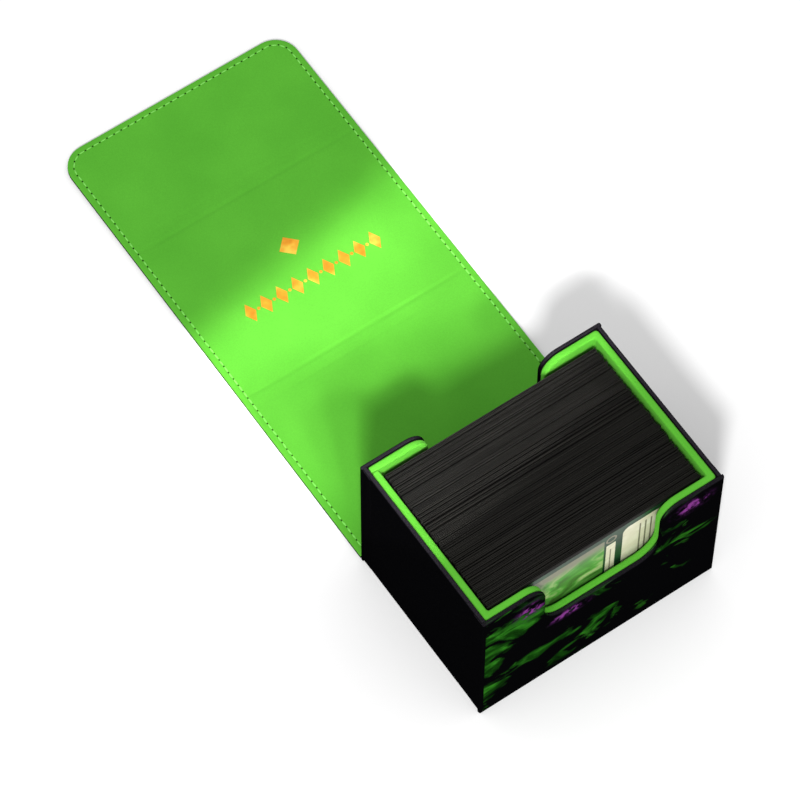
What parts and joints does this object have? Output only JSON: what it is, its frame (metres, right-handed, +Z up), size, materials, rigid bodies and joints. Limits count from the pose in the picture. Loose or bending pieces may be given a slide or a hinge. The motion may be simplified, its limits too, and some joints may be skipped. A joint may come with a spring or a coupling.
{
  "type": "card deck box",
  "caption": "Flip-top box for a deck of sleeved trading cards: covered board walls with finger notches, suede lining, and a three-panel flap with hidden magnets.",
  "frame": {"origin": "centre of the box's underside", "axes": "+X to the right of the printed front wall, +Y to the back, along the open flap, +Z up"},
  "size_m": [0.103, 0.2802, 0.0714],
  "materials": {
    "leatherette": "fine-grained, satin",
    "printed_leatherette": "fine-grained, printed, satin",
    "greyboard": "raw board",
    "suede": "short soft nap",
    "thread": "twisted polyester thread",
    "foil": "hot-stamped foil",
    "magnet": "nickel-plated",
    "sleeves": "matte film",
    "card_face": "printed card in clear film"
  },
  "bodies": {
    "box": {"front_board": "greyboard", "back_board": "greyboard", "left_board": "greyboard", "right_board": "greyboard", "base_board": "greyboard", "front_cover": "printed_leatherette", "back_cover": "leatherette", "left_cover": "leatherette", "right_cover": "leatherette", "base_cover": "leatherette", "front_liner": "suede", "back_liner": "suede", "left_liner": "suede", "right_liner": "suede", "floor_liner": "suede", "front_wall_magnets": "magnet"},
    "flap_back": {"flap_back_cover": "leatherette", "flap_back_board": "greyboard", "flap_back_lining": "suede", "flap_back_stitches": "thread"},
    "flap_top": {"flap_top_cover": "leatherette", "flap_top_board": "greyboard", "flap_top_lining": "suede", "flap_top_stitches": "thread", "flap_top_ornament": "foil"},
    "flap_front": {"flap_front_cover": "leatherette", "flap_front_board": "greyboard", "flap_front_lining": "suede", "flap_front_stitches": "thread", "flap_front_magnets": "magnet"},
    "deck": {"sleeved_cards": "sleeves"},
    "face_card": {"face_card": "card_face"}
  },
  "joints": [
    {"name": "flap_root_hinge", "type": "hinge", "parent": "box", "child": "flap_back", "pos_m": [0, 0.03983, 0.00017], "axis": [1, 0, 0], "range_deg": [0, 90]},
    {"name": "flap_top_hinge", "type": "hinge", "parent": "flap_back", "child": "flap_top", "pos_m": [0, 0.11303, 0.00017], "axis": [1, 0, 0], "range_deg": [0, 90]},
    {"name": "flap_front_hinge", "type": "hinge", "parent": "flap_top", "child": "flap_front", "pos_m": [0, 0.19268, 0.00017], "axis": [1, 0, 0], "range_deg": [0, 90]},
    {"name": "deck_lift", "type": "slide", "parent": "box", "child": "deck", "axis": [0, 0, -1], "range_m": [-0.066, 0]},
    {"name": "face_card_lift", "type": "slide", "parent": "box", "child": "face_card", "axis": [0, 0, -1], "range_m": [-0.066, 0]}
  ]
}
